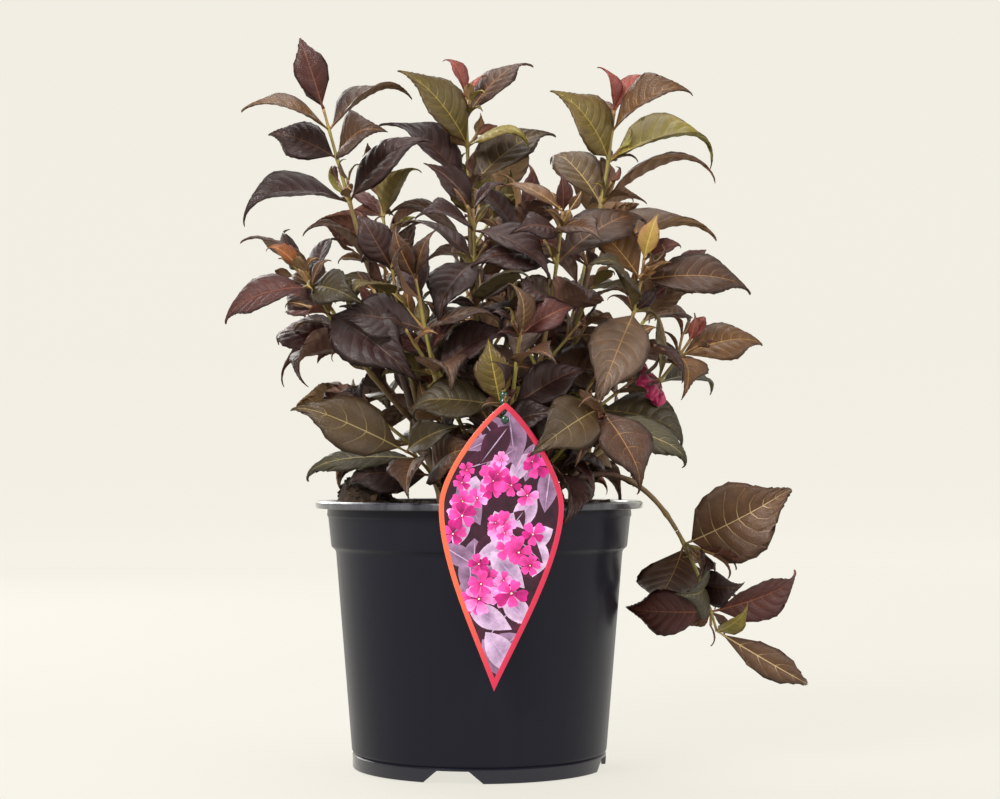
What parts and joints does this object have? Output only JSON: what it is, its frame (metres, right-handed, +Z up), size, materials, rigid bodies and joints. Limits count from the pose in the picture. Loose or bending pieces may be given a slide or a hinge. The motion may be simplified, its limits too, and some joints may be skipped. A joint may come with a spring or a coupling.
{
  "type": "potted_shrub",
  "caption": "Young weigela shrub with dark purple-brown leaves in a black round nursery pot of compost, with a teardrop label tied to a stem and hanging over the rim",
  "frame": {"origin": "middle of the pot's flat underside, on the ground", "axes": "+Z up along the pot's axis, -Y towards the side where the label hangs, +X to the right seen from the label's side"},
  "size_m": [0.347, 0.2567, 0.421],
  "materials": {
    "black_plastic": "satin black moulded plastic with a soft sheen and a glossier lip",
    "compost": "rough dark brown peat and fine bark crumbs",
    "label_card": "smooth printed plastic card with a pink and orange border",
    "green_plastic": "glossy dark green plastic",
    "bark": "thin young bark, purple-brown to yellow-green, slightly ridged",
    "leaves": "thin living leaves, dark purple-brown to olive, with pale veins and a soft sheen"
  },
  "bodies": {
    "root": {"bough_back_far_left": "bark", "bough_back_far_right": "bark", "bough_back_left": "bark", "bough_back_low": "bark", "bough_back_low_left": "bark", "bough_back_low_right": "bark", "bough_back_middle": "bark", "bough_back_right": "bark", "bough_centre_right": "bark", "bough_far_left": "bark", "bough_far_right": "bark", "bough_front_centre": "bark", "bough_front_left": "bark", "bough_front_low": "bark", "bough_front_middle": "bark", "bough_front_right": "bark", "bough_inner_left": "bark", "bough_inner_low_right": "bark", "bough_inner_right": "bark", "bough_low_left": "bark", "bough_low_right": "bark", "bough_middle": "bark", "bough_right": "bark", "bough_sprout_left": "bark", "bough_upper_left": "bark", "bough_upper_right": "bark", "compost": "compost", "foliage_back_far_left": "leaves", "foliage_back_far_right": "leaves", "foliage_back_left": "leaves", "foliage_back_low": "leaves", "foliage_back_low_left": "leaves", "foliage_back_low_right": "leaves", "foliage_back_middle": "leaves", "foliage_back_right": "leaves", "foliage_centre_right": "leaves", "foliage_far_left": "leaves", "foliage_far_right": "leaves", "foliage_front_centre": "leaves", "foliage_front_left": "leaves", "foliage_front_low": "leaves", "foliage_front_middle": "leaves", "foliage_front_right": "leaves", "foliage_inner_left": "leaves", "foliage_inner_low_right": "leaves", "foliage_inner_right": "leaves", "foliage_low_left": "leaves", "foliage_low_right": "leaves", "foliage_middle": "leaves", "foliage_right": "leaves", "foliage_sprout_left": "leaves", "foliage_upper_left": "leaves", "foliage_upper_right": "leaves", "label": "label_card", "label_tie": "green_plastic", "pot": "black_plastic"}
  },
  "joints": []
}
